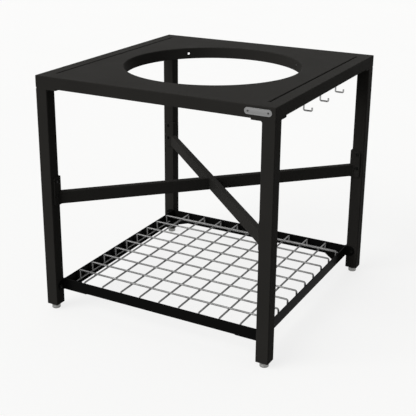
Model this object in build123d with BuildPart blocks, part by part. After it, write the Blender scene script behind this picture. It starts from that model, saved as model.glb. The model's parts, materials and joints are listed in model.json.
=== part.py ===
from build123d import *
from math import sqrt
import os

os.makedirs("parts", exist_ok=True)

# Overall frame: square in plan, origin on the floor under the centre of the cut-out
side = 782.0
height = 770.0
half = side / 2

# Legs: square tube standing flush with the outer faces of the top
leg = 40.0
leg_wall = 2.0
leg_round = 3.0
leg_clear = 18.0
leg_bore = leg - 2 * leg_wall
leg_in = half - leg
leg_axis = half - leg / 2

# Top: folded sheet panel between two side rails, with a groove beside each rail
top_deep = 36.0
sheet = 3.0
edge_round = 2.5
rail_wide = 40.0
rail_wall = 2.0
groove_wide = 4.5
groove_deep = 10.0
end_strip = 48.0
lip = 28.0
top_under = height - top_deep
rail_bore_wide = rail_wide - 2 * rail_wall
rail_bore_high = top_deep - 2 * rail_wall
rail_half = half - end_strip
panel_side = half - rail_wide - groove_wide

# Round cut-out with its rolled collar and four cross holes
collar_in = 278.0
collar_wall = 3.0
collar_round = 2.8
collar_hole_r = 4.2
collar_hole_down = 19.0
collar_out = collar_in + collar_wall

# Head plates on the legs, bolted up into the lip of the panel and into the rail
head_side = 74.0
head_thick = 4.5
head_round = 6.0
head_weld = 5.0
head_bolt_off = 17.0
leg_top = top_under - head_thick
head_bolt_far = leg_in - head_bolt_off

# M8 button bolts and nuts of the head plates
m8_r = 4.0
m8_hole_r = 4.5
m8_head_r = 7.0
m8_head = 4.4
m8_dome = 3.0
m8_socket = 5.0
m8_socket_deep = 2.6
m8_long = 22.0
m8_nut_r = 4.05
m8_flats = 13.0
m8_nut = 6.5

# M6 button bolts and the rivet nuts they run in
m6_r = 3.0
m6_hole_r = 3.3
m6_head_r = 5.25
m6_head = 3.3
m6_dome = 2.2
m6_socket = 4.0
m6_socket_deep = 2.0
m6_bite = 12.0
rivet_nut_r = 4.5
rivet_nut_bore_r = 3.05
rivet_nut_long = 12.0

# Levelling feet: a stud running in the leg's plug and turning in a pad
plug_long = 22.0
stud_r = 5.0
stud_fit = 0.05
stud_long = 50.0
pad_r = 13.5
pad_high = 14.0
pad_floor = 6.0
pad_chamfer = 1.2

# X brace: rectangular tube on edge, one long bar and two halves
brace_high = 40.0
brace_thick = 20.0
brace_wall = 2.0
brace_round = 2.5
brace_up = 2.6

# Brace brackets: plate bent round the inner corner of each leg
bracket_thick = 5.0
bracket_reach = 30.0
bracket_bend = 5.0
bracket_low = 356.0
bracket_high = 92.0
bracket_corner = 8.0
bracket_bolt_up = 32.0
bracket_bolt_pitch = 48.0
bracket_in = leg_in - bracket_thick
brace_low = bracket_low + brace_up
brace_mid = brace_low + brace_high / 2

# Shelf frame: angles between the legs, ends bent outward into bolted ears
shelf_low = 63.0
shelf_high = 35.0
shelf_thick = 3.0
shelf_bend = 6.0
ear_reach = 30.0
ear_round = 17.0
flange_side = 22.0
flange_end = 22.0
flange_gap = 2.0
gusset_leg = 84.0
gusset_thick = 3.0
gusset_inset = 2.0
shelf_bolt_up = 17.5
shelf_in = leg_in - shelf_thick
shelf_floor = shelf_low + shelf_thick

# Wire grid: cross wires over long wires, ends bent down onto edge wires that lie on the shelf flanges
wire_r = 3.0
wire_count = 9
wire_margin = 73.0
wire_setback = 11.0
wire_bend = 5.0
wire_rise = 29.0
wire_sink = 0.05
edge_side_short = 51.0
edge_end_short = 25.0
wire_reach = leg_in - wire_setback
wire_pitch = 2 * (leg_in - wire_margin) / (wire_count - 1)

# Badge on the front apron
badge_long = 80.0
badge_wide = 19.0
badge_thick = 1.5
badge_in = 51.0
badge_down = 17.0
badge_rivet_x = 29.5
rivet_r = 2.1
rivet_hole_r = 2.2
rivet_head_r = 2.9
rivet_head = 1.2
rivet_dome = 1.0
badge_face = Plane(origin=(half - badge_in, -half, height - badge_down), x_dir=(1, 0, 0), z_dir=(0, -1, 0))

# Wire hooks under the right rail
hook_r = 2.5
hook_bend = 4.0
hook_off = 10.5
hook_pitch = 127.0
hook_drop = 34.5
hook_out = 25.5
hook_tip = 10.0
hook_thread = 10.0
hook_hole_r = 2.8
hook_nut_r = 2.55
hook_nut_flats = 8.0
hook_nut = 4.0
hook_x = half - rail_wide / 2 - hook_off

corners = {"fl": (-1, -1), "fr": (1, -1), "bl": (-1, 1), "br": (1, 1)}
sides = {"left": -1, "right": 1}
hooks = {"front": -1, "mid": 0, "back": 1}
bracket_levels = [bracket_low + bracket_bolt_up, bracket_low + bracket_bolt_up + bracket_bolt_pitch]
shelf_level = shelf_low + shelf_bolt_up
wire_steps = [(k - (wire_count - 1) / 2) * wire_pitch for k in range(wire_count)]


def leg_faces(sx, sy, setback, z):
    # Places on the two inner faces of one leg, looking into the leg
    on_x = Plane(origin=(sx * (leg_in - setback), sy * leg_axis, z), z_dir=(sx, 0, 0))
    on_y = Plane(origin=(sx * leg_axis, sy * (leg_in - setback), z), z_dir=(0, sy, 0))
    return [on_x, on_y]


def from_axes(edge):
    # The larger of an edge's two plan offsets from the centre
    return max(abs(edge.center().X), abs(edge.center().Y))


def head_spots(sx, sy):
    # The two head bolts of one leg: first through the panel's lip, then through the side rail
    on_lip = (sx * head_bolt_far, sy * leg_axis)
    on_rail = (sx * leg_axis, sy * head_bolt_far)
    return [on_lip, on_rail]


def brace_section():
    # Section of the brace tube, drawn into the open sketch
    RectangleRounded(brace_thick, brace_high, brace_round)
    bore_wide = brace_thick - 2 * brace_wall
    bore_high = brace_high - 2 * brace_wall
    RectangleRounded(bore_wide, bore_high, brace_round - brace_wall, mode=Mode.SUBTRACT)


def button_bolt(head_r, head, dome, socket, socket_deep, shank_r, shank_long):
    # One domed bolt with a hexagon socket: head below the origin, shank above it
    with BuildPart() as bolt:
        Cylinder(head_r, head, align=(Align.CENTER, Align.CENTER, Align.MAX))
        fillet(bolt.edges().group_by(Axis.Z)[0], dome)
        with BuildSketch(Plane.XY.offset(-head)):
            RegularPolygon(socket / 2, 6, major_radius=False)
        extrude(amount=socket_deep, mode=Mode.SUBTRACT)
        Cylinder(shank_r, shank_long, align=(Align.CENTER, Align.CENTER, Align.MIN))
    return bolt.part


def rail_spot(run, s, across, along):
    # Plan point of a shelf rail on side s, measured out from the centre and along the rail
    return (s * across, along) if run == "y" else (along, s * across)


# Top panel
with BuildPart() as top_panel:
    with BuildSketch(Plane.XY.offset(top_under)):
        Rectangle(side, side)
        with Locations((half, 0), (-half, 0)):
            Rectangle(2 * (half - panel_side), 2 * rail_half, mode=Mode.SUBTRACT)
    extrude(amount=top_deep)
    uprights = top_panel.edges().filter_by(Axis.Z)
    fillet(uprights.filter_by(lambda e: min(abs(e.center().X), abs(e.center().Y)) > half - sheet), edge_round)
    crown = top_panel.edges().group_by(Axis.Z)[-1]
    fillet(crown.filter_by(lambda e: from_axes(e) > half - edge_round), edge_round)
    brinks = top_panel.edges().group_by(Axis.Z)[-1].filter_by(Axis.Y)
    fillet(brinks.filter_by(lambda e: abs(e.center().Y) < edge_round), edge_round)
    with BuildSketch(Plane.XY.offset(top_under)):
        Rectangle(side - 2 * sheet, side - 2 * sheet)
        with Locations((half, 0), (-half, 0)):
            Rectangle(2 * (half - panel_side + sheet), 2 * (rail_half + sheet), mode=Mode.SUBTRACT)
    extrude(amount=top_deep - sheet, mode=Mode.SUBTRACT)
    with BuildSketch(Plane.XY.offset(top_under)):
        with Locations((0, half - lip / 2 - sheet / 2), (0, -half + lip / 2 + sheet / 2)):
            Rectangle(side - 2 * sheet, lip - sheet)
    extrude(amount=sheet)
    with BuildSketch(Plane.XY.offset(height - sheet)):
        Circle(collar_out)
    extrude(amount=sheet, mode=Mode.SUBTRACT)
    with BuildSketch(Plane.XY.offset(top_under)):
        for sx, sy in corners.values():
            with Locations(head_spots(sx, sy)[0]):
                Circle(m8_hole_r)
    extrude(amount=sheet, mode=Mode.SUBTRACT)
    with BuildSketch(badge_face):
        with Locations((badge_rivet_x, 0), (-badge_rivet_x, 0)):
            Circle(rivet_hole_r)
    extrude(amount=-sheet, mode=Mode.SUBTRACT)
top_panel.part.label = "top_panel"
export_step(top_panel.part, "parts/top_panel.step")

# Collar ring
with BuildPart() as collar_ring:
    with BuildSketch(Plane.XY.offset(top_under)):
        Circle(collar_out)
        Circle(collar_in, mode=Mode.SUBTRACT)
    extrude(amount=top_deep)
    fillet(collar_ring.edges().group_by(Axis.Z)[-1].sort_by(SortBy.RADIUS)[0], collar_round)
    for sx, sy in corners.values():
        with BuildSketch(Plane(origin=(0, 0, height - collar_hole_down), z_dir=(sx, sy, 0))):
            Circle(collar_hole_r)
        extrude(amount=2 * collar_out, mode=Mode.SUBTRACT)
collar_ring.part.label = "collar_ring"
export_step(collar_ring.part, "parts/collar_ring.step")

# Side rails and the strips that close the grooves
for name, sx in sides.items():
    with BuildPart() as side_rail:
        rail_end = Plane.XZ.offset(-rail_half)
        with BuildSketch(rail_end):
            with Locations((sx * (half - rail_wide / 2), height - top_deep / 2)):
                RectangleRounded(rail_wide, top_deep, edge_round)
                RectangleRounded(rail_bore_wide, rail_bore_high, edge_round - rail_wall, mode=Mode.SUBTRACT)
        extrude(amount=2 * rail_half)
        with BuildSketch(Plane.XY.offset(top_under)):
            with Locations((sx * leg_axis, head_bolt_far), (sx * leg_axis, -head_bolt_far)):
                Circle(m8_hole_r)
            if sx > 0:
                with Locations(*[(hook_x, k * hook_pitch) for k in hooks.values()]):
                    Circle(hook_hole_r)
        extrude(amount=rail_wall, mode=Mode.SUBTRACT)
    side_rail.part.label = f"side_rail_{name}"
    export_step(side_rail.part, f"parts/side_rail_{name}.step")

    with BuildPart() as seam_strip:
        with BuildSketch(Plane.XY.offset(top_under)):
            with Locations((sx * (panel_side + groove_wide / 2), 0)):
                Rectangle(groove_wide, 2 * rail_half)
        extrude(amount=top_deep - groove_deep)
    seam_strip.part.label = f"seam_strip_{name}"
    export_step(seam_strip.part, f"parts/seam_strip_{name}.step")

# Legs with their head plates, plugs and levelling feet
for name, (sx, sy) in corners.items():
    with BuildPart() as leg_tube:
        with BuildSketch(Plane.XY.offset(leg_clear)):
            with Locations((sx * leg_axis, sy * leg_axis)):
                RectangleRounded(leg, leg, leg_round)
                RectangleRounded(leg_bore, leg_bore, leg_round - leg_wall, mode=Mode.SUBTRACT)
        extrude(amount=leg_top - leg_clear)
        for z in bracket_levels + [shelf_level]:
            for face in leg_faces(sx, sy, 0, z):
                with BuildSketch(face):
                    Circle(rivet_nut_r)
                extrude(amount=leg_wall, mode=Mode.SUBTRACT)
    leg_tube.part.label = f"leg_{name}"
    export_step(leg_tube.part, f"parts/leg_{name}.step")

    with BuildPart() as head_plate:
        with BuildSketch(Plane.XY.offset(leg_top)):
            with Locations((sx * (half - head_side / 2), sy * (half - head_side / 2))):
                RectangleRounded(head_side, head_side, head_round)
            with Locations(*head_spots(sx, sy)):
                Circle(m8_hole_r, mode=Mode.SUBTRACT)
        extrude(amount=head_thick)
    head_plate.part.label = f"head_plate_{name}"
    export_step(head_plate.part, f"parts/head_plate_{name}.step")

    with BuildPart() as leg_plug:
        with BuildSketch(Plane.XY.offset(leg_clear)):
            with Locations((sx * leg_axis, sy * leg_axis)):
                RectangleRounded(leg_bore, leg_bore, leg_round - leg_wall)
                Circle(stud_r + stud_fit, mode=Mode.SUBTRACT)
        extrude(amount=plug_long)
    leg_plug.part.label = f"leg_plug_{name}"
    export_step(leg_plug.part, f"parts/leg_plug_{name}.step")

    with BuildPart() as foot_pad:
        with BuildSketch(Plane.XY):
            with Locations((sx * leg_axis, sy * leg_axis)):
                Circle(pad_r)
        extrude(amount=pad_high)
        chamfer(foot_pad.edges(), pad_chamfer)
        with BuildSketch(Plane.XY.offset(pad_floor)):
            with Locations((sx * leg_axis, sy * leg_axis)):
                Circle(stud_r + stud_fit)
        extrude(amount=pad_high - pad_floor, mode=Mode.SUBTRACT)
    foot_pad.part.label = f"foot_pad_{name}"
    export_step(foot_pad.part, f"parts/foot_pad_{name}.step")

    with BuildPart() as foot_stud:
        with BuildSketch(Plane.XY.offset(pad_floor)):
            with Locations((sx * leg_axis, sy * leg_axis)):
                Circle(stud_r)
        extrude(amount=stud_long)
    foot_stud.part.label = f"foot_stud_{name}"
    export_step(foot_stud.part, f"parts/foot_stud_{name}.step")

# Weld beads between the legs' inner faces and the head plates
with BuildPart() as head_welds:
    for sx, sy in corners.values():
        with BuildSketch(Plane.XY.offset(leg_top - head_weld)):
            with Locations((sx * leg_axis, sy * leg_axis)):
                RectangleRounded(leg, leg, leg_round)
        extrude(amount=head_weld, taper=-45)
    with BuildSketch(Plane.XY.offset(leg_top - head_weld)):
        Rectangle(2 * (half - leg_round), 2 * (half - leg_round))
    extrude(amount=head_weld, mode=Mode.INTERSECT)
    with BuildSketch(Plane.XY.offset(leg_top - head_weld)):
        for sx, sy in corners.values():
            with Locations((sx * leg_axis, sy * leg_axis)):
                RectangleRounded(leg, leg, leg_round)
    extrude(amount=head_weld, mode=Mode.SUBTRACT)
head_welds.part.label = "head_welds"
export_step(head_welds.part, "parts/head_welds.step")

# Head bolts from below, with their nuts on the lip and inside the rail
head_bolt = button_bolt(m8_head_r, m8_head, m8_dome, m8_socket, m8_socket_deep, m8_r, m8_long)
with BuildPart() as head_bolts:
    for sx, sy in corners.values():
        with Locations(*[(x, y, leg_top) for x, y in head_spots(sx, sy)]):
            add(head_bolt)
head_bolts.part.label = "head_bolts"
export_step(head_bolts.part, "parts/head_bolts.step")

with BuildPart() as head_nuts:
    for sx, sy in corners.values():
        for spot, seat in zip(head_spots(sx, sy), (sheet, rail_wall)):
            with BuildSketch(Plane.XY.offset(top_under + seat)):
                with Locations(spot):
                    RegularPolygon(m8_flats / 2, 6, major_radius=False)
                    Circle(m8_nut_r, mode=Mode.SUBTRACT)
            extrude(amount=m8_nut)
head_nuts.part.label = "head_nuts"
export_step(head_nuts.part, "parts/head_nuts.step")

# Brace bars, notched at the legs to sit on the corners of the brackets
brace_reach = sqrt(2) * leg_in
along_long = Plane(origin=(0, 0, brace_mid), x_dir=(1, 1, 0), z_dir=(1, -1, 0))
along_half = Plane(origin=(0, 0, brace_mid), x_dir=(-1, 1, 0), z_dir=(1, 1, 0))

with BuildPart() as brace_long:
    with BuildSketch(along_long):
        brace_section()
    extrude(amount=brace_reach, both=True)
    with BuildSketch(Plane.XY.offset(brace_low)):
        with Locations((half, -half), (-half, half)):
            Rectangle(2 * (half - bracket_in), 2 * (half - bracket_in))
    extrude(amount=brace_high, mode=Mode.SUBTRACT)
brace_long.part.label = "brace_long"
export_step(brace_long.part, "parts/brace_long.step")

for name, s in {"front": -1, "back": 1}.items():
    with BuildPart() as brace_half:
        with BuildSketch(along_half.offset(s * brace_thick / 2)):
            brace_section()
        extrude(amount=s * (brace_reach - brace_thick / 2))
        with BuildSketch(Plane.XY.offset(brace_low)):
            with Locations((s * half, s * half)):
                Rectangle(2 * (half - bracket_in), 2 * (half - bracket_in))
        extrude(amount=brace_high, mode=Mode.SUBTRACT)
    brace_half.part.label = f"brace_half_{name}"
    export_step(brace_half.part, f"parts/brace_half_{name}.step")

# Brace brackets
for name, (sx, sy) in corners.items():
    reach = leg_in + bracket_reach
    with BuildPart() as brace_bracket:
        with BuildSketch(Plane.XY.offset(bracket_low)) as bracket_plan:
            with BuildLine():
                Polyline(
                    (sx * bracket_in, sy * bracket_in),
                    (sx * reach, sy * bracket_in),
                    (sx * reach, sy * leg_in),
                    (sx * leg_in, sy * leg_in),
                    (sx * leg_in, sy * reach),
                    (sx * bracket_in, sy * reach),
                    close=True,
                )
            make_face()
            fillet(bracket_plan.vertices().sort_by_distance((0, 0, bracket_low))[0], bracket_bend)
        extrude(amount=bracket_high)
        ends = brace_bracket.edges().filter_by(Axis.X) + brace_bracket.edges().filter_by(Axis.Y)
        fillet(ends.filter_by(lambda e: from_axes(e) > reach - bracket_thick / 2), bracket_corner)
        for z in bracket_levels:
            for face in leg_faces(sx, sy, bracket_thick, z):
                with BuildSketch(face):
                    Circle(m6_hole_r)
                extrude(amount=bracket_thick, mode=Mode.SUBTRACT)
    brace_bracket.part.label = f"brace_bracket_{name}"
    export_step(brace_bracket.part, f"parts/brace_bracket_{name}.step")

# Button bolts in the brackets and in the shelf ears
button_groups = {
    "bracket_bolts": (bracket_thick, bracket_levels),
    "shelf_bolts": (shelf_thick, [shelf_level]),
}
for name, (grip, levels) in button_groups.items():
    leg_bolt = button_bolt(m6_head_r, m6_head, m6_dome, m6_socket, m6_socket_deep, m6_r, grip + m6_bite)
    with BuildPart() as bolt_group:
        for sx, sy in corners.values():
            for z in levels:
                with Locations(*[face.location for face in leg_faces(sx, sy, grip, z)]):
                    add(leg_bolt)
    bolt_group.part.label = name
    export_step(bolt_group.part, f"parts/{name}.step")

with BuildPart() as leg_rivet_nuts:
    for sx, sy in corners.values():
        for z in bracket_levels + [shelf_level]:
            for face in leg_faces(sx, sy, 0, z):
                with BuildSketch(face):
                    Circle(rivet_nut_r)
                    Circle(rivet_nut_bore_r, mode=Mode.SUBTRACT)
                extrude(amount=rivet_nut_long)
leg_rivet_nuts.part.label = "leg_rivet_nuts"
export_step(leg_rivet_nuts.part, "parts/leg_rivet_nuts.step")

# Shelf rails: the side, the way it runs, and the width and half length of its flange
flange_side_half = leg_in - flange_end - flange_gap
flange_end_half = shelf_in - shelf_bend
shelf_rails = {
    "left": (-1, "y", flange_side, flange_side_half),
    "right": (1, "y", flange_side, flange_side_half),
    "front": (-1, "x", flange_end, flange_end_half),
    "back": (1, "x", flange_end, flange_end_half),
}
for name, (s, run, flange, flange_half) in shelf_rails.items():
    ear_end = leg_in + ear_reach
    outline = [
        (ear_end, shelf_in),
        (leg_in, shelf_in),
        (leg_in, -shelf_in),
        (ear_end, -shelf_in),
        (ear_end, -leg_in),
        (shelf_in, -leg_in),
        (shelf_in, leg_in),
        (ear_end, leg_in),
    ]
    tight_bends = [outline[1], outline[2]]
    wide_bends = [outline[5], outline[6]]
    flange_corners = [
        (leg_in, flange_half),
        (leg_in, -flange_half),
        (leg_in - flange, -flange_half),
        (leg_in - flange, flange_half),
    ]
    with BuildPart() as shelf_rail:
        with BuildSketch(Plane.XY.offset(shelf_low)) as rail_plan:
            with BuildLine():
                Polyline(*[rail_spot(run, s, *p) for p in outline], close=True)
            make_face()
            for bends, radius in ((tight_bends, shelf_bend), (wide_bends, shelf_bend + shelf_thick)):
                for p in bends:
                    corner = (*rail_spot(run, s, *p), shelf_low)
                    fillet(rail_plan.vertices().sort_by_distance(corner)[0], radius)
        extrude(amount=shelf_high)
        ear_axis = Axis.Y if run == "y" else Axis.X
        tips = shelf_rail.edges().filter_by(ear_axis)
        fillet(tips.filter_by(lambda e: from_axes(e) > ear_end - shelf_thick / 2), ear_round)
        with BuildSketch(Plane.XY.offset(shelf_low)):
            with BuildLine():
                Polyline(*[rail_spot(run, s, *p) for p in flange_corners], close=True)
            make_face()
        extrude(amount=shelf_thick)
        for end in (-1, 1):
            hole = (*rail_spot(run, s, leg_axis, end * shelf_in), shelf_level)
            into_leg = (*rail_spot(run, s, 0, end), 0)
            with BuildSketch(Plane(origin=hole, z_dir=into_leg)):
                Circle(m6_hole_r)
            extrude(amount=shelf_thick, mode=Mode.SUBTRACT)
    shelf_rail.part.label = f"shelf_rail_{name}"
    export_step(shelf_rail.part, f"parts/shelf_rail_{name}.step")

# Shelf gussets under the flanges at the corners
for name, (sx, sy) in corners.items():
    near = leg_in - gusset_inset
    far = near - gusset_leg
    with BuildPart() as shelf_gusset:
        with BuildSketch(Plane.XY.offset(shelf_low - gusset_thick)):
            with BuildLine():
                Polyline((sx * near, sy * near), (sx * far, sy * near), (sx * near, sy * far), close=True)
            make_face()
        extrude(amount=gusset_thick)
    shelf_gusset.part.label = f"shelf_gusset_{name}"
    export_step(shelf_gusset.part, f"parts/shelf_gusset_{name}.step")

# Wire grid
long_z = shelf_floor + wire_rise
cross_z = long_z + 2 * wire_r - wire_sink
edge_z = shelf_floor + wire_r
wire_foot = edge_z + wire_r - wire_sink
edge_halves = (leg_in - edge_side_short, leg_in - edge_end_short)

with BuildPart() as cross_wire:
    with BuildLine() as cross_path:
        FilletPolyline(
            (-wire_reach, 0, wire_foot),
            (-wire_reach, 0, cross_z),
            (wire_reach, 0, cross_z),
            (wire_reach, 0, wire_foot),
            radius=wire_bend,
        )
    with BuildSketch(Plane(origin=(-wire_reach, 0, wire_foot), z_dir=(0, 0, 1))):
        Circle(wire_r)
    sweep(path=cross_path.wire())

with BuildPart() as grid_cross_wires:
    with Locations(*[(0, step, 0) for step in wire_steps]):
        add(cross_wire.part)
grid_cross_wires.part.label = "grid_cross_wires"
export_step(grid_cross_wires.part, "parts/grid_cross_wires.step")

with BuildPart() as long_wire:
    with BuildLine() as long_path:
        FilletPolyline(
            (0, -wire_reach, wire_foot),
            (0, -wire_reach, long_z),
            (0, wire_reach, long_z),
            (0, wire_reach, wire_foot),
            radius=wire_bend,
        )
    with BuildSketch(Plane(origin=(0, -wire_reach, wire_foot), z_dir=(0, 0, 1))):
        Circle(wire_r)
    sweep(path=long_path.wire())

with BuildPart() as grid_long_wires:
    with Locations(*[(step, 0, 0) for step in wire_steps]):
        add(long_wire.part)
grid_long_wires.part.label = "grid_long_wires"
export_step(grid_long_wires.part, "parts/grid_long_wires.step")

with BuildPart() as grid_edge_wires:
    for s in (-1, 1):
        with BuildSketch(Plane(origin=(s * wire_reach, 0, edge_z), z_dir=(0, 1, 0))):
            Circle(wire_r)
        extrude(amount=edge_halves[0], both=True)
        with BuildSketch(Plane(origin=(0, s * wire_reach, edge_z), z_dir=(1, 0, 0))):
            Circle(wire_r)
        extrude(amount=edge_halves[1], both=True)
grid_edge_wires.part.label = "grid_edge_wires"
export_step(grid_edge_wires.part, "parts/grid_edge_wires.step")

# Badge and its rivets
with BuildPart() as badge_plate:
    with BuildSketch(badge_face):
        SlotOverall(badge_long, badge_wide)
        with Locations((badge_rivet_x, 0), (-badge_rivet_x, 0)):
            Circle(rivet_hole_r, mode=Mode.SUBTRACT)
    extrude(amount=badge_thick)
badge_plate.part.label = "badge_plate"
export_step(badge_plate.part, "parts/badge_plate.step")

with BuildPart() as badge_rivets:
    with BuildSketch(badge_face.offset(badge_thick)):
        with Locations((badge_rivet_x, 0), (-badge_rivet_x, 0)):
            Circle(rivet_head_r)
    extrude(amount=rivet_head)
    fillet(badge_rivets.edges().group_by(Axis.Y)[0], rivet_dome)
    with BuildSketch(badge_face.offset(badge_thick)):
        with Locations((badge_rivet_x, 0), (-badge_rivet_x, 0)):
            Circle(rivet_r)
    extrude(amount=-(badge_thick + sheet))
badge_rivets.part.label = "badge_rivets"
export_step(badge_rivets.part, "parts/badge_rivets.step")

# Wire hooks through the bottom of the right rail, with their nuts inside it
for name, k in hooks.items():
    with BuildPart() as hook:
        with BuildLine() as hook_path:
            FilletPolyline(
                (hook_x, k * hook_pitch, top_under + hook_thread),
                (hook_x, k * hook_pitch, top_under - hook_drop),
                (hook_x + hook_out, k * hook_pitch, top_under - hook_drop),
                (hook_x + hook_out, k * hook_pitch, top_under - hook_drop + hook_tip),
                radius=hook_bend,
            )
        with BuildSketch(Plane(origin=(hook_x, k * hook_pitch, top_under + hook_thread), z_dir=(0, 0, -1))):
            Circle(hook_r)
        sweep(path=hook_path.wire())
    hook.part.label = f"hook_{name}"
    export_step(hook.part, f"parts/hook_{name}.step")

with BuildPart() as hook_nuts:
    with BuildSketch(Plane.XY.offset(top_under + rail_wall)):
        with Locations(*[(hook_x, k * hook_pitch) for k in hooks.values()]):
            RegularPolygon(hook_nut_flats / 2, 6, major_radius=False)
            Circle(hook_nut_r, mode=Mode.SUBTRACT)
    extrude(amount=hook_nut)
hook_nuts.part.label = "hook_nuts"
export_step(hook_nuts.part, "parts/hook_nuts.step")
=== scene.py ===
import json
import math
import bmesh
import bpy
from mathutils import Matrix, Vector


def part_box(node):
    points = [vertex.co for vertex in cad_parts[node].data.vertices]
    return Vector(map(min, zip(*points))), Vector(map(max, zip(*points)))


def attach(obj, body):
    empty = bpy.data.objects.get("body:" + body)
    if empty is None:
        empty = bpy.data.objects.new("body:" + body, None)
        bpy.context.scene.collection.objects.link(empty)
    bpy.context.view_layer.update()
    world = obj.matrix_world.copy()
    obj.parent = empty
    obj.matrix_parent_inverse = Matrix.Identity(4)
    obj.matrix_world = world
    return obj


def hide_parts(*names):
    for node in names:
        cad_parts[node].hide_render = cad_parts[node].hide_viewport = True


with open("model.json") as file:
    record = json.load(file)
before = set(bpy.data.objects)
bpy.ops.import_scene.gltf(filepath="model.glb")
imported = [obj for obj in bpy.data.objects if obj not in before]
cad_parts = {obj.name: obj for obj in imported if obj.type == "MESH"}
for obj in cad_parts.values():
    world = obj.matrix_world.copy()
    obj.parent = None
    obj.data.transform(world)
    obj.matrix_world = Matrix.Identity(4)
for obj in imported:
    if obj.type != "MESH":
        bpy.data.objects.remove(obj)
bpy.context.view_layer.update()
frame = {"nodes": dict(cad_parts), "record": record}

mm = 0.001
nodes = frame["nodes"]
corners = {"fl": (-1, -1), "fr": (1, -1), "bl": (-1, 1), "br": (1, 1)}
print("frame loaded:", len(nodes), "nodes")

# a Mix node's colour sockets, which share their names with its other sockets
mixA = 6
mixB = 7
mixOut = 2
noiseSpan = (0.3, 0.7)  # nearly all values of a noise texture lie in here
waveTurn = 20  # the wave texture runs this many radians to a unit


def linearColour(code):
    # sRGB hex code to the linear values that the shaders want
    shares = [int(code[i:i + 2], 16) / 255 for i in (1, 3, 5)]
    return (*[c / 12.92 if c <= 0.04045 else ((c + 0.055) / 1.055) ** 2.4 for c in shares], 1.0)


def addNode(tree, kind, links=None, **settings):
    # links: input name or number to a value, or to the output that feeds it
    made = tree.nodes.new(kind)
    for name, value in settings.items():
        setattr(made, name, value)
    for name, value in (links or {}).items():
        if isinstance(value, bpy.types.NodeSocket):
            tree.links.new(value, made.inputs[name])
        else:
            made.inputs[name].default_value = value
    return made


def perMetre(sizeMm):
    # texture scale that draws a pattern of this size in millimetres
    return 1 / (sizeMm * mm)


def bandsPerMetre(sizeMm):
    # the same for the wave texture
    return perMetre(sizeMm) * 2 * math.pi / waveTurn


def startMaterial(name):
    made = bpy.data.materials.new(name)
    made.use_nodes = True
    tree = made.node_tree
    tree.nodes.clear()
    return made, tree, addNode(tree, "ShaderNodeTexCoord").outputs["Object"]


def endMaterial(tree, links):
    shader = addNode(tree, "ShaderNodeBsdfPrincipled", links)
    addNode(tree, "ShaderNodeOutputMaterial", {"Surface": shader.outputs["BSDF"]})


# Steel under a matt black powder coat: fine orange peel, faintly uneven in tone, hardly any gloss
coat = {
    "colour": "#2c2b29", "thin": "#333230", "patchMm": 120, "peelMm": 3.2, "peelRise": 0.05,
    "peelStrength": 0.35, "roughness": (0.5, 0.6), "specular": 0.005,
}

# The shelf's angles are in smooth enamel: deeper black, with soft reflections of what stands beside them
enamel = {
    "colour": "#101010", "thin": "#151514", "patchMm": 90, "peelMm": 9, "peelRise": 0.02,
    "peelStrength": 0.35, "roughness": (0.16, 0.26), "specular": 0.007,
}

# Ripples of a weld under the coat
weldRipple = {"sizeMm": 3, "rise": 0.4, "strength": 0.6, "wander": 1.5}


def paintedSteel(name, look, ripple=None):
    made, tree, place = startMaterial(name)
    patches = addNode(tree, "ShaderNodeTexNoise", {
        "Vector": place, "Scale": perMetre(look["patchMm"]), "Detail": 4.0})
    tone = addNode(tree, "ShaderNodeMix", {
        "Factor": patches.outputs["Fac"],
        mixA: linearColour(look["colour"]), mixB: linearColour(look["thin"])}, data_type="RGBA")
    gloss = addNode(tree, "ShaderNodeMapRange", {
        "Value": patches.outputs["Fac"], "From Min": noiseSpan[0], "From Max": noiseSpan[1],
        "To Min": look["roughness"][0], "To Max": look["roughness"][1]})
    # real peel is about half as coarse, and too fine to show
    peel = addNode(tree, "ShaderNodeTexNoise", {
        "Vector": place, "Scale": perMetre(look["peelMm"]), "Detail": 2.0})
    surface = addNode(tree, "ShaderNodeBump", {
        "Height": peel.outputs["Fac"], "Strength": look["peelStrength"],
        "Distance": look["peelRise"] * mm}).outputs["Normal"]
    if ripple:
        # on the diagonal, where the texture runs half as fast
        waves = addNode(tree, "ShaderNodeTexWave", {
            "Vector": place, "Scale": 2 * bandsPerMetre(ripple["sizeMm"]), "Distortion": ripple["wander"]},
            bands_direction="DIAGONAL")
        surface = addNode(tree, "ShaderNodeBump", {
            "Height": waves.outputs["Fac"], "Strength": ripple["strength"], "Distance": ripple["rise"] * mm,
            "Normal": surface}).outputs["Normal"]
    endMaterial(tree, {
        "Base Color": tone.outputs[mixOut], "Roughness": gloss.outputs[0], "Normal": surface,
        "Specular IOR Level": look["specular"]})
    return made


# Drawn steel wire with satin zinc plating: soft highlights, faint draw lines, duller patches along the run
wireFinish = {
    "bright": "#848483", "dull": "#737373", "patchMm": 45, "drawMm": 1.2, "drawRise": 0.02,
    "drawStrength": 0.15, "roughness": (0.42, 0.54),
}
hookFinish = {**wireFinish, "bright": "#bababa", "dull": "#a8a8a8"}  # the hooks are drawn paler than the grid wires


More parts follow.
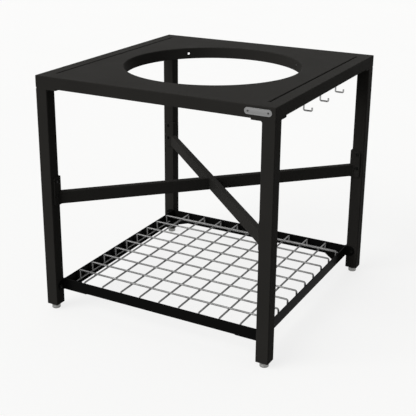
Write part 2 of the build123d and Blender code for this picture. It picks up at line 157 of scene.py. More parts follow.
def platedDrawnWire(name, look):
    made, tree, place = startMaterial(name)
    run = addNode(tree, "ShaderNodeAttribute", attribute_name="wireRun").outputs["Fac"]
    along = addNode(tree, "ShaderNodeTexNoise", {
        "W": run, "Scale": perMetre(look["patchMm"]), "Detail": 3.0}, noise_dimensions="1D")
    tone = addNode(tree, "ShaderNodeMix", {
        "Factor": along.outputs["Fac"],
        mixA: linearColour(look["bright"]), mixB: linearColour(look["dull"])}, data_type="RGBA")
    gloss = addNode(tree, "ShaderNodeMapRange", {
        "Value": along.outputs["Fac"], "From Min": noiseSpan[0], "From Max": noiseSpan[1],
        "To Min": look["roughness"][0], "To Max": look["roughness"][1]})
    draw = addNode(tree, "ShaderNodeTexNoise", {
        "Vector": place, "Scale": perMetre(look["drawMm"]), "Detail": 2.0})
    surface = addNode(tree, "ShaderNodeBump", {
        "Height": draw.outputs["Fac"], "Strength": look["drawStrength"], "Distance": look["drawRise"] * mm})
    endMaterial(tree, {
        "Base Color": tone.outputs[mixOut], "Metallic": 1.0, "Roughness": gloss.outputs[0],
        "Normal": surface.outputs["Normal"]})
    return made


# Turned steel with zinc plating: lathe rings round each foot's axis, drawn coarser than real to show
turnedFinish = {
    "pale": "#a0a09e", "dark": "#868684", "ringMm": 1.6, "ringRise": 0.05, "ringStrength": 0.3, "wander": 0.6,
    "roughness": (0.3, 0.42),
}


def turnedZincSteel(name, axisOffset):
    made, tree, place = startMaterial(name)
    # all four feet stand at the same distance from both centre planes
    folded = addNode(tree, "ShaderNodeVectorMath", {0: place}, operation="ABSOLUTE")
    local = addNode(tree, "ShaderNodeVectorMath", {
        0: folded.outputs[0], 1: (axisOffset, axisOffset, 0)}, operation="SUBTRACT")
    rings = addNode(tree, "ShaderNodeTexWave", {
        "Vector": local.outputs[0], "Scale": bandsPerMetre(turnedFinish["ringMm"]),
        "Distortion": turnedFinish["wander"], "Detail": 2.0}, wave_type="RINGS", rings_direction="Z")
    tone = addNode(tree, "ShaderNodeMix", {
        "Factor": rings.outputs["Fac"],
        mixA: linearColour(turnedFinish["pale"]), mixB: linearColour(turnedFinish["dark"])}, data_type="RGBA")
    gloss = addNode(tree, "ShaderNodeMapRange", {
        "Value": rings.outputs["Fac"],
        "To Min": turnedFinish["roughness"][0], "To Max": turnedFinish["roughness"][1]})
    surface = addNode(tree, "ShaderNodeBump", {
        "Height": rings.outputs["Fac"], "Strength": turnedFinish["ringStrength"],
        "Distance": turnedFinish["ringRise"] * mm})
    endMaterial(tree, {
        "Base Color": tone.outputs[mixOut], "Metallic": 1.0, "Roughness": gloss.outputs[0],
        "Normal": surface.outputs["Normal"]})
    return made


# Small steel fasteners, blackened or zinc plated: slightly mottled by the bath
boltFinish = {"pale": "#1d1d1c", "dark": "#131312", "mottleMm": 4, "roughness": (0.35, 0.5)}
nutFinish = {"pale": "#a5a5a2", "dark": "#82827f", "mottleMm": 4, "roughness": (0.3, 0.45)}
rivetFinish = {"pale": "#565655", "dark": "#454544", "mottleMm": 4, "roughness": (0.4, 0.55)}  # weathered


def platedSteel(name, look):
    made, tree, place = startMaterial(name)
    mottle = addNode(tree, "ShaderNodeTexNoise", {
        "Vector": place, "Scale": perMetre(look["mottleMm"]), "Detail": 3.0})
    tone = addNode(tree, "ShaderNodeMix", {
        "Factor": mottle.outputs["Fac"],
        mixA: linearColour(look["pale"]), mixB: linearColour(look["dark"])}, data_type="RGBA")
    gloss = addNode(tree, "ShaderNodeMapRange", {
        "Value": mottle.outputs["Fac"], "To Min": look["roughness"][0], "To Max": look["roughness"][1]})
    endMaterial(tree, {"Base Color": tone.outputs[mixOut], "Metallic": 1.0, "Roughness": gloss.outputs[0]})
    return made


# Rolled aluminium, brushed along its length: streaks that run left to right
brushFinish = {
    "pale": "#8d8d8d", "dark": "#7f7f7f", "strokeMm": 60, "streakMm": 0.9, "streakRise": 0.03,
    "streakStrength": 0.2, "roughness": (0.32, 0.48),
}


def brushedAluminium(name):
    made, tree, place = startMaterial(name)
    stroke = perMetre(brushFinish["strokeMm"])
    streak = perMetre(brushFinish["streakMm"])
    stretched = addNode(tree, "ShaderNodeMapping", {"Vector": place, "Scale": (stroke, streak, streak)})
    streaks = addNode(tree, "ShaderNodeTexNoise", {
        "Vector": stretched.outputs[0], "Scale": 1.0, "Detail": 3.0})
    tone = addNode(tree, "ShaderNodeMix", {
        "Factor": streaks.outputs["Fac"],
        mixA: linearColour(brushFinish["pale"]), mixB: linearColour(brushFinish["dark"])}, data_type="RGBA")
    gloss = addNode(tree, "ShaderNodeMapRange", {
        "Value": streaks.outputs["Fac"],
        "To Min": brushFinish["roughness"][0], "To Max": brushFinish["roughness"][1]})
    surface = addNode(tree, "ShaderNodeBump", {
        "Height": streaks.outputs["Fac"], "Strength": brushFinish["streakStrength"],
        "Distance": brushFinish["streakRise"] * mm})
    endMaterial(tree, {
        "Base Color": tone.outputs[mixOut], "Metallic": 1.0, "Roughness": gloss.outputs[0],
        "Normal": surface.outputs["Normal"]})
    return made


# Moulded nylon: dull black with a fine spark-eroded grain
nylonFinish = {
    "colour": "#1b1b1b", "pale": "#262626", "grainMm": 0.9, "grainRise": 0.05, "grainStrength": 0.4,
    "roughness": 0.6,
}


def mouldedNylon(name):
    made, tree, place = startMaterial(name)
    grain = addNode(tree, "ShaderNodeTexNoise", {"Vector": place, "Scale": perMetre(nylonFinish["grainMm"])})
    tone = addNode(tree, "ShaderNodeMix", {
        "Factor": grain.outputs["Fac"],
        mixA: linearColour(nylonFinish["colour"]), mixB: linearColour(nylonFinish["pale"])}, data_type="RGBA")
    surface = addNode(tree, "ShaderNodeBump", {
        "Height": grain.outputs["Fac"], "Strength": nylonFinish["grainStrength"],
        "Distance": nylonFinish["grainRise"] * mm})
    endMaterial(tree, {
        "Base Color": tone.outputs[mixOut], "Roughness": nylonFinish["roughness"],
        "Normal": surface.outputs["Normal"]})
    return made


legLow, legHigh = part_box("leg_fr")
legAxis = (legLow.x + legHigh.x) / 2
legInner = legLow.x

finishes = {
    "frame_paint": paintedSteel("blackPowderCoat", coat),
    "shelf_enamel": paintedSteel("smoothBlackEnamel", enamel),
    "bright_wire": platedDrawnWire("platedDrawnWire", wireFinish),
    "foot_zinc": turnedZincSteel("turnedZincSteel", legAxis),
    "plug_nylon": mouldedNylon("mouldedNylon"),
    "bolt_black": platedSteel("blackOxideSteel", boltFinish),
    "fastener_zinc": platedSteel("zincPlatedSteel", nutFinish),
    "badge_aluminium": brushedAluminium("brushedAluminium"),
}
weldCoat = paintedSteel("blackPowderCoatOnWeld", coat, weldRipple)
brightHook = platedDrawnWire("brightPlatedWire", hookFinish)
wornRivet = platedSteel("wornBlackOxideSteel", rivetFinish)
slotOf = {row["node"]: row["material_slot"] for row in frame["record"]["subparts"]}
for nodeName, slotName in slotOf.items():
    nodes[nodeName].material_slots[0].material = finishes[slotName]
nodes["head_welds"].material_slots[0].material = weldCoat
nodes["badge_rivets"].material_slots[0].material = wornRivet
print("finishes on", len(slotOf), "nodes")


def meshPiece(name, mesh):
    made = bpy.data.objects.new(name, mesh)
    bpy.context.scene.collection.objects.link(made)
    return made


def skinRings(name, rings):
    # closed mesh through rings of equal length, first and last filled
    shape = bmesh.new()
    loops = [[shape.verts.new(point) for point in ring] for ring in rings]
    for low, high in zip(loops, loops[1:]):
        for i in range(len(low)):
            j = (i + 1) % len(low)
            shape.faces.new((low[i], low[j], high[j], high[i]))
    shape.faces.new(list(reversed(loops[0])))
    shape.faces.new(loops[-1])
    bmesh.ops.recalc_face_normals(shape, faces=shape.faces)
    mesh = bpy.data.meshes.new(name)
    shape.to_mesh(mesh)
    shape.free()
    return mesh


def roundRing(radius, z, count, centre=(0, 0)):
    turns = [2 * math.pi * i / count for i in range(count)]
    return [(centre[0] + radius * math.cos(t), centre[1] + radius * math.sin(t), z) for t in turns]


def hexRing(flats, z, count):
    # points round a hexagon, at the same angles as a round ring
    points = []
    for i in range(count):
        t = 2 * math.pi * i / count
        reach = flats / 2 / math.cos((t % (math.pi / 3)) - math.pi / 6)
        points.append((reach * math.cos(t), reach * math.sin(t), z))
    return points


def shadeByAngle(mesh, degrees):
    shape = bmesh.new()
    shape.from_mesh(mesh)
    for face in shape.faces:
        face.smooth = True
    for edge in shape.edges:
        edge.smooth = len(edge.link_faces) == 2 and edge.calc_face_angle() < math.radians(degrees)
    shape.to_mesh(mesh)
    shape.free()


def startTree(name, inputs):
    tree = bpy.data.node_groups.new(name, "GeometryNodeTree")
    tree.interface.new_socket("Geometry", in_out="INPUT", socket_type="NodeSocketGeometry")
    for title, kind in inputs.items():
        tree.interface.new_socket(title, in_out="INPUT", socket_type="NodeSocket" + kind)
    tree.interface.new_socket("Geometry", in_out="OUTPUT", socket_type="NodeSocketGeometry")
    return tree, addNode(tree, "NodeGroupInput").outputs


def endTree(tree, geometry, material, smooth=True):
    real = addNode(tree, "GeometryNodeRealizeInstances", {"Geometry": geometry})
    shaded = addNode(tree, "GeometryNodeSetShadeSmooth", {
        "Geometry": real.outputs[0], "Shade Smooth": smooth})
    coloured = addNode(tree, "GeometryNodeSetMaterial", {
        "Geometry": shaded.outputs[0], "Material": material})
    addNode(tree, "NodeGroupOutput", {"Geometry": coloured.outputs[0]})


def runTree(name, tree, values, base=None):
    # evaluates a tree once and keeps the result as a plain mesh
    made = meshPiece(name, base or bpy.data.meshes.new(name))
    modifier = made.modifiers.new("build", "NODES")
    modifier.node_group = tree
    for item in tree.interface.items_tree:
        if item.in_out == "INPUT" and item.name in values:
            modifier[item.identifier] = values[item.name]
    ready = made.evaluated_get(bpy.context.evaluated_depsgraph_get())
    mesh = bpy.data.meshes.new_from_object(ready)
    made.modifiers.remove(modifier)
    made.data = mesh
    mesh.name = name
    return made


def finishPiece(piece, body, replaced=()):
    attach(piece, body)
    if replaced:
        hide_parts(*replaced)


# Bent wire: a run through four corners, its bends rounded, repeated by steps
runCorners = ["Corner A", "Corner B", "Corner C", "Corner D"]


def buildBentWire():
    tree, given = startTree("bentWire", {
        **{corner: "Vector" for corner in runCorners}, "Bend": "Float", "Radius": "Float", "Sides": "Int",
        "Count": "Int", "Step": "Vector", "Material": "Material"})
    line = addNode(tree, "GeometryNodeMeshLine", {"Count": len(runCorners)})
    chain = addNode(tree, "GeometryNodeMeshToCurve", {"Mesh": line.outputs[0]})
    order = addNode(tree, "GeometryNodeInputIndex")
    pick = addNode(tree, "GeometryNodeIndexSwitch", data_type="VECTOR")
    while len(pick.index_switch_items) < len(runCorners):
        pick.index_switch_items.new()
    tree.links.new(order.outputs[0], pick.inputs["Index"])
    for i, corner in enumerate(runCorners):
        tree.links.new(given[corner], pick.inputs[1 + i])
    placed = addNode(tree, "GeometryNodeSetPosition", {
        "Geometry": chain.outputs[0], "Position": pick.outputs[0]})
    rounded = addNode(tree, "GeometryNodeFilletCurve", {
        "Curve": placed.outputs[0], "Count": 7, "Radius": given["Bend"], "Limit Radius": True}, mode="POLY")
    run = addNode(tree, "GeometryNodeSplineParameter")
    marked = addNode(tree, "GeometryNodeStoreNamedAttribute", {
        "Geometry": rounded.outputs[0], "Name": "wireRun", "Value": run.outputs["Length"]},
        data_type="FLOAT", domain="POINT")
    # the row of copies is centred on the run
    back = addNode(tree, "ShaderNodeMath", {0: 1.0, 1: given["Count"]}, operation="SUBTRACT")
    halved = addNode(tree, "ShaderNodeMath", {0: back.outputs[0], 1: 0.5}, operation="MULTIPLY")
    first = addNode(tree, "ShaderNodeVectorMath", {
        0: given["Step"], "Scale": halved.outputs[0]}, operation="SCALE")
    row = addNode(tree, "GeometryNodeMeshLine", {
        "Count": given["Count"], "Start Location": first.outputs[0], "Offset": given["Step"]})
    copies = addNode(tree, "GeometryNodeInstanceOnPoints", {
        "Points": row.outputs[0], "Instance": marked.outputs[0]})
    real = addNode(tree, "GeometryNodeRealizeInstances", {"Geometry": copies.outputs[0]})
    section = addNode(tree, "GeometryNodeCurvePrimitiveCircle", {
        "Resolution": given["Sides"], "Radius": given["Radius"]})
    tube = addNode(tree, "GeometryNodeCurveToMesh", {
        "Curve": real.outputs[0], "Profile Curve": section.outputs[0], "Fill Caps": True})
    # on a straight run the fillet leaves doubled rings
    merged = addNode(tree, "GeometryNodeMergeByDistance", {
        "Geometry": tube.outputs[0], "Distance": 0.01 * mm})
    endTree(tree, merged.outputs[0], given["Material"])
    return tree


bentWire = buildBentWire()
gridWire = {
    "radius": 3 * mm, "bend": 5 * mm, "count": 9, "sides": 14, "edgeSide": 300 * mm, "edgeEnd": 326 * mm,
}
crossLow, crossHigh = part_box("grid_cross_wires")
longLow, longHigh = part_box("grid_long_wires")
edgeLow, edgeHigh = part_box("grid_edge_wires")
wireR = gridWire["radius"]
reach = crossHigh.x - wireR
pitch = 2 * (crossHigh.y - wireR) / (gridWire["count"] - 1)
edgeZ = edgeHigh.z - wireR
edgeOff = edgeHigh.x - wireR


def wireRun(places):
    return {corner: tuple(place) for corner, place in zip(runCorners, places)}


def standingRun(top, floor, alongY):
    # one wire that stands on the two edge wires
    profile = [(-reach, floor), (-reach, top), (reach, top), (reach, floor)]
    return wireRun([(0, p, z) if alongY else (p, 0, z) for p, z in profile])


def straightRun(end):
    # a straight wire from the mirrored end to this one
    end = Vector(end)
    mirrored = Vector((-end.x, -end.y, end.z))
    last = len(runCorners) - 1
    return wireRun([mirrored.lerp(end, i / last) for i in range(len(runCorners))])


gridPieces = {
    "grid_cross_tubes": ("grid_cross_wires", gridWire["count"], (0, pitch, 0),
                         standingRun(crossHigh.z - wireR, crossLow.z, False)),
    "grid_long_tubes": ("grid_long_wires", gridWire["count"], (pitch, 0, 0),
                        standingRun(longHigh.z - wireR, longLow.z, True)),
    "grid_edge_side_tubes": ("grid_edge_wires", 2, (2 * edgeOff, 0, 0),
                             straightRun((0, gridWire["edgeSide"], edgeZ))),
    "grid_edge_end_tubes": ("grid_edge_wires", 2, (0, 2 * edgeOff, 0),
                            straightRun((gridWire["edgeEnd"], 0, edgeZ))),
}
for name, (nodeName, count, step, run) in gridPieces.items():
    piece = runTree(name, bentWire, {
        **run, "Count": count, "Step": step, "Radius": wireR, "Bend": gridWire["bend"],
        "Sides": gridWire["sides"], "Material": finishes["bright_wire"]})
    finishPiece(piece, "grid", [nodeName])


# Resistance welds: a small squeezed nugget wherever two wires cross or one stands on another
def buildNuggets():
    tree, given = startTree("nuggets", {
        "Count X": "Int", "Count Y": "Int", "Span X": "Float", "Span Y": "Float", "Height": "Float",
        "Radius": "Float", "Squeeze": "Vector", "Material": "Material"})
    field = addNode(tree, "GeometryNodeMeshGrid", {
        "Size X": given["Span X"], "Size Y": given["Span Y"],
        "Vertices X": given["Count X"], "Vertices Y": given["Count Y"]})
    lift = addNode(tree, "ShaderNodeCombineXYZ", {"Z": given["Height"]})
    raised = addNode(tree, "GeometryNodeSetPosition", {
        "Geometry": field.outputs[0], "Offset": lift.outputs[0]})
    ball = addNode(tree, "GeometryNodeMeshIcoSphere", {"Radius": given["Radius"], "Subdivisions": 2})
    dots = addNode(tree, "GeometryNodeInstanceOnPoints", {
        "Points": raised.outputs[0], "Instance": ball.outputs[0], "Scale": given["Squeeze"]})
    endTree(tree, dots.outputs[0], given["Material"])
    return tree


nuggets = buildNuggets()
nugget = {"radius": 3.4 * mm, "squeeze": (1, 1, 0.5)}
span = pitch * (gridWire["count"] - 1)
weldRows = {
    "grid_crossing_welds": (gridWire["count"], gridWire["count"], span, span, longHigh.z),
    "grid_side_welds": (2, gridWire["count"], 2 * reach, span, edgeHigh.z),
    "grid_end_welds": (gridWire["count"], 2, span, 2 * reach, edgeHigh.z),
}
for name, (countX, countY, spanX, spanY, level) in weldRows.items():
    piece = runTree(name, nuggets, {
        "Count X": countX, "Count Y": countY, "Span X": spanX, "Span Y": spanY, "Height": level,
        "Radius": nugget["radius"], "Squeeze": nugget["squeeze"], "Material": finishes["bright_wire"]})
    finishPiece(piece, "grid")
print("wire grid:", len(gridPieces), "tube pieces,", len(weldRows), "rows of welds")

# Hooks: bent from wire, the threaded end up through the rail
hookWire = {"radius": 2.5 * mm, "bend": 4 * mm, "tip": 10 * mm, "sides": 18}
for place in ("front", "mid", "back"):
    low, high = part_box("hook_" + place)
    hookR = hookWire["radius"]
    y = (low.y + high.y) / 2
    bottom = low.z + hookR
    profile = [(low.x + hookR, high.z), (low.x + hookR, bottom),
               (high.x - hookR, bottom), (high.x - hookR, bottom + hookWire["tip"])]
    piece = runTree("hook_wire_" + place, bentWire, {
        **wireRun([(x, y, z) for x, z in profile]), "Count": 1, "Step": (0, 0, 0), "Radius": hookR,
        "Bend": hookWire["bend"], "Sides": hookWire["sides"], "Material": brightHook})
    finishPiece(piece, "frame", ["hook_" + place])
print("hooks bent")


# Fasteners: one shape set on every seat, facing out, turned by chance as a tightened screw is
def buildFasteners():
    tree, given = startTree("fasteners", {"Fastener": "Object", "Seed": "Int", "Material": "Material"})
    shape = addNode(tree, "GeometryNodeObjectInfo", {"Object": given["Fastener"]})
    outward = addNode(tree, "GeometryNodeInputNamedAttribute", {"Name": "outward"}, data_type="FLOAT_VECTOR")
    facing = addNode(tree, "FunctionNodeAlignRotationToVector", {"Vector": outward.outputs[0]}, axis="Z")
    # a hexagon looks the same again after 60 degrees
    chance = addNode(tree, "FunctionNodeRandomValue", {
        "Min": 0.0, "Max": math.radians(60), "Seed": given["Seed"]}, data_type="FLOAT")
    twist = addNode(tree, "FunctionNodeAxisAngleToRotation", {
        "Axis": (0, 0, 1), "Angle": chance.outputs["Value"]})
    turned = addNode(tree, "FunctionNodeRotateRotation", {
        0: facing.outputs[0], 1: twist.outputs[0]}, rotation_space="LOCAL")
    copies = addNode(tree, "GeometryNodeInstanceOnPoints", {
        "Points": given["Geometry"], "Instance": shape.outputs["Geometry"], "Rotation": turned.outputs[0]})
    endTree(tree, copies.outputs[0], given["Material"])
    return tree


fasteners = buildFasteners()
button = {"sides": 24, "domeSteps": 4, "mouth": 1.22, "lead": 0.25 * mm, "shade": 35}
m6Button = {
    **button, "head": 5.25 * mm, "high": 3.3 * mm, "dome": 2.2 * mm, "socket": 4 * mm, "deep": 2 * mm,
    "shank": 3 * mm, "bite": 12 * mm,
}
m8Button = {
    **button, "head": 7 * mm, "high": 4.4 * mm, "dome": 3 * mm, "socket": 5 * mm, "deep": 2.6 * mm,
    "shank": 4 * mm, "bite": 22 * mm, "off": 17 * mm,
}
turnSeeds = {"bracket_bolts": 3, "shelf_bolts": 7, "head_bolts": 11}


def setFasteners(name, shape, seats, replaced):
    # seats: pairs of a place and the way that the head faces
    points = bpy.data.meshes.new(name + "_seats")
    points.from_pydata([place for place, out in seats], [], [])
    outward = points.attributes.new("outward", "FLOAT_VECTOR", "POINT")
    outward.data.foreach_set("vector", [value for place, out in seats for value in out])
    pattern = meshPiece(name + "_pattern", shape)
    piece = runTree(name, fasteners, {
        "Fastener": pattern, "Seed": turnSeeds[replaced], "Material": finishes["bolt_black"]}, points)
    bpy.data.objects.remove(pattern)
    shadeByAngle(piece.data, button["shade"])
    finishPiece(piece, "frame", [replaced])


def legSeats(setback, levels):
    # places on the two inner faces of each leg, this far in front of the tube
    seats = []
    for sx, sy in corners.values():
        for z in levels:
            seats.append(((sx * (legInner - setback), sy * legAxis, z), (-sx, 0, 0)))
            seats.append(((sx * legAxis, sy * (legInner - setback), z), (0, -sy, 0)))
    return seats


def buttonBolt(size, grip=0):
    sides = size["sides"]
    rings = [roundRing(size["shank"], -grip - size["bite"], sides),
             roundRing(size["shank"], 0, sides),
             roundRing(size["head"], 0, sides)]
    for i in range(size["domeSteps"] + 1):
        t = math.radians(90) * i / size["domeSteps"]
        rings.append(roundRing(size["head"] - size["dome"] * (1 - math.cos(t)),
                               size["high"] - size["dome"] * (1 - math.sin(t)), sides))
    # a flared mouth, then the hexagon socket
    rings.append(roundRing(size["socket"] / 2 * size["mouth"], size["high"], sides))
    rings.append(hexRing(size["socket"], size["high"] - size["lead"], sides))
    rings.append(hexRing(size["socket"], size["high"] - size["deep"], sides))
    return skinRings("buttonBolt", rings)


bracketThick = 5 * mm
earThick = 3 * mm
bracketLow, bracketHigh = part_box("bracket_bolts")
shelfLow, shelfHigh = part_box("shelf_bolts")
bracketLevels = [bracketLow.z + m6Button["head"], bracketHigh.z - m6Button["head"]]
shelfLevels = [(shelfLow.z + shelfHigh.z) / 2]
setFasteners("bracket_button_bolts", buttonBolt(m6Button, bracketThick),
             legSeats(bracketThick, bracketLevels), "bracket_bolts")
setFasteners("shelf_button_bolts", buttonBolt(m6Button, earThick),
             legSeats(earThick, shelfLevels), "shelf_bolts")

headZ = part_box("head_plate_fl")[0].z
headFar = legInner - m8Button["off"]
headSeats = []
for sx, sy in corners.values():
    headSeats.append(((sx * headFar, sy * legAxis, headZ), (0, 0, -1)))
    headSeats.append(((sx * legAxis, sy * headFar, headZ), (0, 0, -1)))
setFasteners("head_button_bolts", buttonBolt(m8Button), headSeats, "head_bolts")
print("fasteners set")

# Badge: a blank stamped plate with a pressed border line
badge = {"border": 2 * mm, "line": 0.5 * mm, "press": 0.1 * mm, "bevel": 0.4 * mm, "arc": 12, "shade": 20}


def stadiumRing(halfLong, radius, inset, depth, centre, front):
    points = []
    for end in (1, -1):
        for i in range(badge["arc"] + 1):
            t = math.radians(-90 + 180 * i / badge["arc"]) + (0 if end > 0 else math.pi)
            points.append((centre.x + end * (halfLong - radius) + (radius - inset) * math.cos(t),
                           front - depth,
                           centre.z + (radius - inset) * math.sin(t)))
    return points


low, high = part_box("badge_plate")
centre = (low + high) / 2
halfLong = (high.x - low.x) / 2
radius = (high.z - low.z) / 2
thick = high.y - low.y
steps = [(0, 0), (0, thick - badge["bevel"]), (badge["bevel"], thick), (badge["border"], thick),
         (badge["border"] + badge["line"], thick - badge["press"]),
         (badge["border"] + 2 * badge["line"], thick - badge["press"]),
         (badge["border"] + 3 * badge["line"], thick)]
plate = skinRings("badge_blank", [
    stadiumRing(halfLong, radius, inset, depth, centre, high.y) for inset, depth in steps])
shadeByAngle(plate, badge["shade"])
plate.materials.append(finishes["badge_aluminium"])
finishPiece(meshPiece("badge_blank", plate), "frame", ["badge_plate"])
print("badge plate made")

# Levelling feet: a turned pad with a grip groove, and a stud with its real thread
foot = {
    "pitch": 1.5 * mm, "depth": 0.55 * mm, "ridge": 0.75, "ease": 0.6 * mm, "play": 0.02 * mm,
    "threadShade": 40,
    "chamfer": 1.2 * mm, "groove": 0.5 * mm, "grip": (0.42, 0.58), "bore": 5.05 * mm, "boreDeep": 8 * mm,
    "lip": 0.4 * mm, "sides": 48, "padShade": 30,
}


def buildThread():
    tree, given = startTree("thread", {
        "Length": "Float", "Pitch": "Float", "Crest": "Float", "Depth": "Float", "Place": "Vector",
        "Material": "Material"})
    turns = addNode(tree, "ShaderNodeMath", {0: given["Length"], 1: given["Pitch"]}, operation="DIVIDE")
    ridgeR = addNode(tree, "ShaderNodeMath", {0: given["Depth"], 1: foot["ridge"]}, operation="MULTIPLY")
    middle = addNode(tree, "ShaderNodeMath", {
        0: given["Crest"], 1: ridgeR.outputs[0]}, operation="SUBTRACT")
    coil = addNode(tree, "GeometryNodeCurveSpiral", {
        "Resolution": 20, "Rotations": turns.outputs[0], "Start Radius": middle.outputs[0],
        "End Radius": middle.outputs[0], "Height": given["Length"]})
    section = addNode(tree, "GeometryNodeCurvePrimitiveCircle", {
        "Resolution": 4, "Radius": ridgeR.outputs[0]})
    ridge = addNode(tree, "GeometryNodeCurveToMesh", {
        "Curve": coil.outputs[0], "Profile Curve": section.outputs[0], "Fill Caps": True})
    coreR = addNode(tree, "ShaderNodeMath", {0: given["Crest"], 1: given["Depth"]}, operation="SUBTRACT")
    core = addNode(tree, "GeometryNodeMeshCylinder", {
        "Vertices": 24, "Radius": coreR.outputs[0], "Depth": given["Length"]})
    half = addNode(tree, "ShaderNodeMath", {0: given["Length"], 1: 0.5}, operation="MULTIPLY")
    lift = addNode(tree, "ShaderNodeCombineXYZ", {"Z": half.outputs[0]})
    stood = addNode(tree, "GeometryNodeTransform", {
        "Geometry": core.outputs[0], "Translation": lift.outputs[0]})
    both = addNode(tree, "GeometryNodeJoinGeometry")
    tree.links.new(ridge.outputs[0], both.inputs[0])
    tree.links.new(stood.outputs[0], both.inputs[0])
    placed = addNode(tree, "GeometryNodeTransform", {
        "Geometry": both.outputs[0], "Translation": given["Place"]})
    endTree(tree, placed.outputs[0], given["Material"], smooth=False)
    return tree


thread = buildThread()
for name, (sx, sy) in corners.items():
    low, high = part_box("foot_stud_" + name)
    stud = runTree("stud_thread_" + name, thread, {
        "Length": high.z - low.z - 2 * foot["ease"], "Pitch": foot["pitch"],
        "Crest": (high.x - low.x) / 2 - foot["play"], "Depth": foot["depth"],
        "Place": (sx * legAxis, sy * legAxis, low.z + foot["ease"]), "Material": finishes["foot_zinc"]})
    shadeByAngle(stud.data, foot["threadShade"])
    finishPiece(stud, "stud_" + name, ["foot_stud_" + name])

    low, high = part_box("foot_pad_" + name)
    padR = (high.x - low.x) / 2
    edge = foot["chamfer"]
    cut = foot["groove"]
    tall = high.z - low.z
    gripLow, gripHigh = [tall * share for share in foot["grip"]]
    profile = [(padR - edge, 0), (padR, edge), (padR, gripLow), (padR - cut, gripLow + cut),
               (padR - cut, gripHigh - cut), (padR, gripHigh), (padR, tall - edge), (padR - edge, tall),
               (foot["bore"] + foot["lip"], tall), (foot["bore"], tall - foot["lip"]),
               (foot["bore"], tall - foot["boreDeep"])]
    disc = skinRings("foot_disc_" + name, [
        roundRing(ringR, low.z + z, foot["sides"], (sx * legAxis, sy * legAxis)) for ringR, z in profile])
    shadeByAngle(disc, foot["padShade"])
    disc.materials.append(finishes["foot_zinc"])
    finishPiece(meshPiece("foot_disc_" + name, disc), "pad_" + name, ["foot_pad_" + name])
print("feet turned and threaded")

# Weld beads: overlapping ripples laid along the corners where the brace meets
bead = {
    "ripple": 1.8 * mm, "radius": 2.6 * mm, "flatten": 0.7, "vary": (0.88, 1.08), "stop": 3 * mm, "seed": 5,
    "braceThick": 20 * mm,
}


def buildBeads():
    tree, given = startTree("beads", {
        "Ripple": "Float", "Radius": "Float", "Flatten": "Float", "Seed": "Int", "Material": "Material"})
    path = addNode(tree, "GeometryNodeMeshToCurve", {"Mesh": given["Geometry"]})
    spots = addNode(tree, "GeometryNodeResampleCurve", {
        "Curve": path.outputs[0], "Length": given["Ripple"]}, mode="LENGTH")
    way = addNode(tree, "GeometryNodeInputTangent")
    facing = addNode(tree, "FunctionNodeAlignRotationToVector", {"Vector": way.outputs[0]}, axis="Z")
    drop = addNode(tree, "GeometryNodeMeshIcoSphere", {"Radius": given["Radius"], "Subdivisions": 2})
    chance = addNode(tree, "FunctionNodeRandomValue", {
        "Min": bead["vary"][0], "Max": bead["vary"][1], "Seed": given["Seed"]}, data_type="FLOAT")
    flat = addNode(tree, "ShaderNodeMath", {
        0: given["Flatten"], 1: chance.outputs["Value"]}, operation="MULTIPLY")
    size = addNode(tree, "ShaderNodeCombineXYZ", {
        "X": chance.outputs["Value"], "Y": chance.outputs["Value"], "Z": flat.outputs[0]})
    drops = addNode(tree, "GeometryNodeInstanceOnPoints", {
        "Points": spots.outputs[0], "Instance": drop.outputs[0],
        "Rotation": facing.outputs[0], "Scale": size.outputs[0]})
    endTree(tree, drops.outputs[0], given["Material"])
    return tree


beads = buildBeads()
braceLow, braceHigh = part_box("brace_long")
bracketInner = legInner - bracketThick
halfBrace = bead["braceThick"] / 2 * math.sqrt(2)
# where the halves meet the long bar, then where the bars meet the brackets
uprights = [(halfBrace, 0), (-halfBrace, 0), (0, halfBrace), (0, -halfBrace)]
for sx, sy in corners.values():
    uprights.append((sx * (bracketInner + halfBrace), sy * bracketInner))
    uprights.append((sx * bracketInner, sy * (bracketInner + halfBrace)))
ends = (braceLow.z + bead["stop"], braceHigh.z - bead["stop"])
points = [(x, y, z) for x, y in uprights for z in ends]
lines = bpy.data.meshes.new("bead_lines")
lines.from_pydata(points, [(i, i + 1) for i in range(0, len(points), 2)], [])
piece = runTree("brace_weld_beads", beads, {
    "Ripple": bead["ripple"], "Radius": bead["radius"], "Flatten": bead["flatten"], "Seed": bead["seed"],
    "Material": finishes["frame_paint"]}, lines)
finishPiece(piece, "frame")
print("brace welded")


# The background: white to the camera, and to metal and glass that mirror it
def backgroundRays(tree):
    rays = addNode(tree, "ShaderNodeLightPath").outputs
    mirrored = addNode(tree, "ShaderNodeMath", {
        0: rays["Is Glossy Ray"], 1: rays["Is Transmission Ray"]}, operation="MAXIMUM")
    seen = addNode(tree, "ShaderNodeMath", {
        0: rays["Is Camera Ray"], 1: mirrored.outputs[0]}, operation="MAXIMUM")
    return seen.outputs[0]


# Matt studio floor: pale, faintly clouded, lifted to white where it is the background
floorLook = {
    "colour": "#80807e", "cloud": "#7c7c7a", "cloudMm": 900, "lift": 0.78, "roughness": 0.9, "specular": 0.1,
    "reach": 40,
}


def paleFloor(name):
    made, tree, place = startMaterial(name)
    clouds = addNode(tree, "ShaderNodeTexNoise", {"Vector": place, "Scale": perMetre(floorLook["cloudMm"])})
    tone = addNode(tree, "ShaderNodeMix", {
        "Factor": clouds.outputs["Fac"],
        mixA: linearColour(floorLook["colour"]), mixB: linearColour(floorLook["cloud"])}, data_type="RGBA")
    # the lift adds to the light on the floor, so the shadow stays
    lift = addNode(tree, "ShaderNodeMath", {
        0: backgroundRays(tree), 1: floorLook["lift"]}, operation="MULTIPLY")
    endMaterial(tree, {
        "Base Color": tone.outputs[mixOut], "Roughness": floorLook["roughness"],
        "Specular IOR Level": floorLook["specular"],
        "Emission Color": (1, 1, 1, 1), "Emission Strength": lift.outputs[0]})
    return made


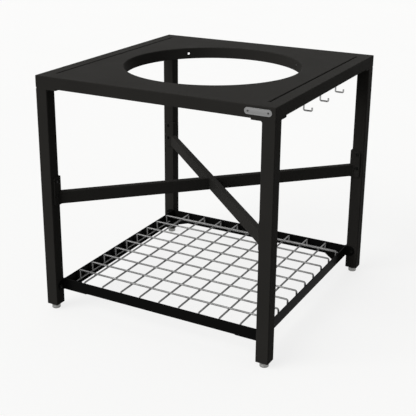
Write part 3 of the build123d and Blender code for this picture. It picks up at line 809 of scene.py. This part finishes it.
floorMesh = bpy.data.meshes.new("floor")
far = floorLook["reach"]
floorMesh.from_pydata([(-far, -far, 0), (far, -far, 0), (far, far, 0), (-far, far, 0)], [], [(0, 1, 2, 3)])
floorMesh.materials.append(paleFloor("paleFloor"))
meshPiece("floor", floorMesh)

# Studio: one wide key from the front left and above; the surround brightens upwards and dims to the right
studio = {
    "key": 1.87, "spread": 45, "from": (-0.65, -1.1, 0.9), "low": 0.21, "high": 0.68, "fade": (0.2, 0.75),
    "right": 0.55, "turn": (-0.4, 0.5),
}
sun = bpy.data.lights.new("key", "SUN")
sun.energy = studio["key"]
sun.angle = math.radians(studio["spread"])
lamp = meshPiece("key", sun)
lamp.rotation_mode = "QUATERNION"
lamp.rotation_quaternion = Vector(studio["from"]).to_track_quat("Z", "Y")

world = bpy.data.worlds.new("studio")
bpy.context.scene.world = world
world.use_nodes = True
sky = world.node_tree
sky.nodes.clear()
heading = addNode(sky, "ShaderNodeTexCoord").outputs["Generated"]
way = addNode(sky, "ShaderNodeSeparateXYZ", {0: heading}).outputs
upward = addNode(sky, "ShaderNodeMapRange", {
    "Value": way["Z"], "From Min": studio["fade"][0], "From Max": studio["fade"][1],
    "To Min": studio["low"], "To Max": studio["high"]})
across = addNode(sky, "ShaderNodeMapRange", {
    "Value": way["X"], "From Min": studio["turn"][0], "From Max": studio["turn"][1],
    "To Min": 1.0, "To Max": studio["right"]})
lit = addNode(sky, "ShaderNodeMath", {0: upward.outputs[0], 1: across.outputs[0]}, operation="MULTIPLY")
strength = addNode(sky, "ShaderNodeMix", {"Factor": backgroundRays(sky), "A": lit.outputs[0], "B": 1.0})
glow = addNode(sky, "ShaderNodeBackground", {"Color": (1, 1, 1, 1), "Strength": strength.outputs[0]})
addNode(sky, "ShaderNodeOutputWorld", {"Surface": glow.outputs[0]})

# Camera: stands where the photograph's camera stood
view = {
    "spot": (1.2849, -2.4358, 1.3538), "yaw": 29.48, "pitch": 19.0, "focalPx": 893.8, "framePx": 416,
    "shift": (0.05, -0.08), "farEnd": 200,
}
lens = bpy.data.cameras.new("camera")
lens.lens = lens.sensor_width * view["focalPx"] / view["framePx"]
lens.shift_x, lens.shift_y = view["shift"]
lens.clip_end = view["farEnd"]
camera = meshPiece("camera", lens)
camera.location = view["spot"]
camera.rotation_euler = (math.radians(90 - view["pitch"]), 0, math.radians(view["yaw"]))
bpy.context.scene.camera = camera
bpy.context.scene.view_settings.view_transform = "Standard"
print("floor, light and camera set")
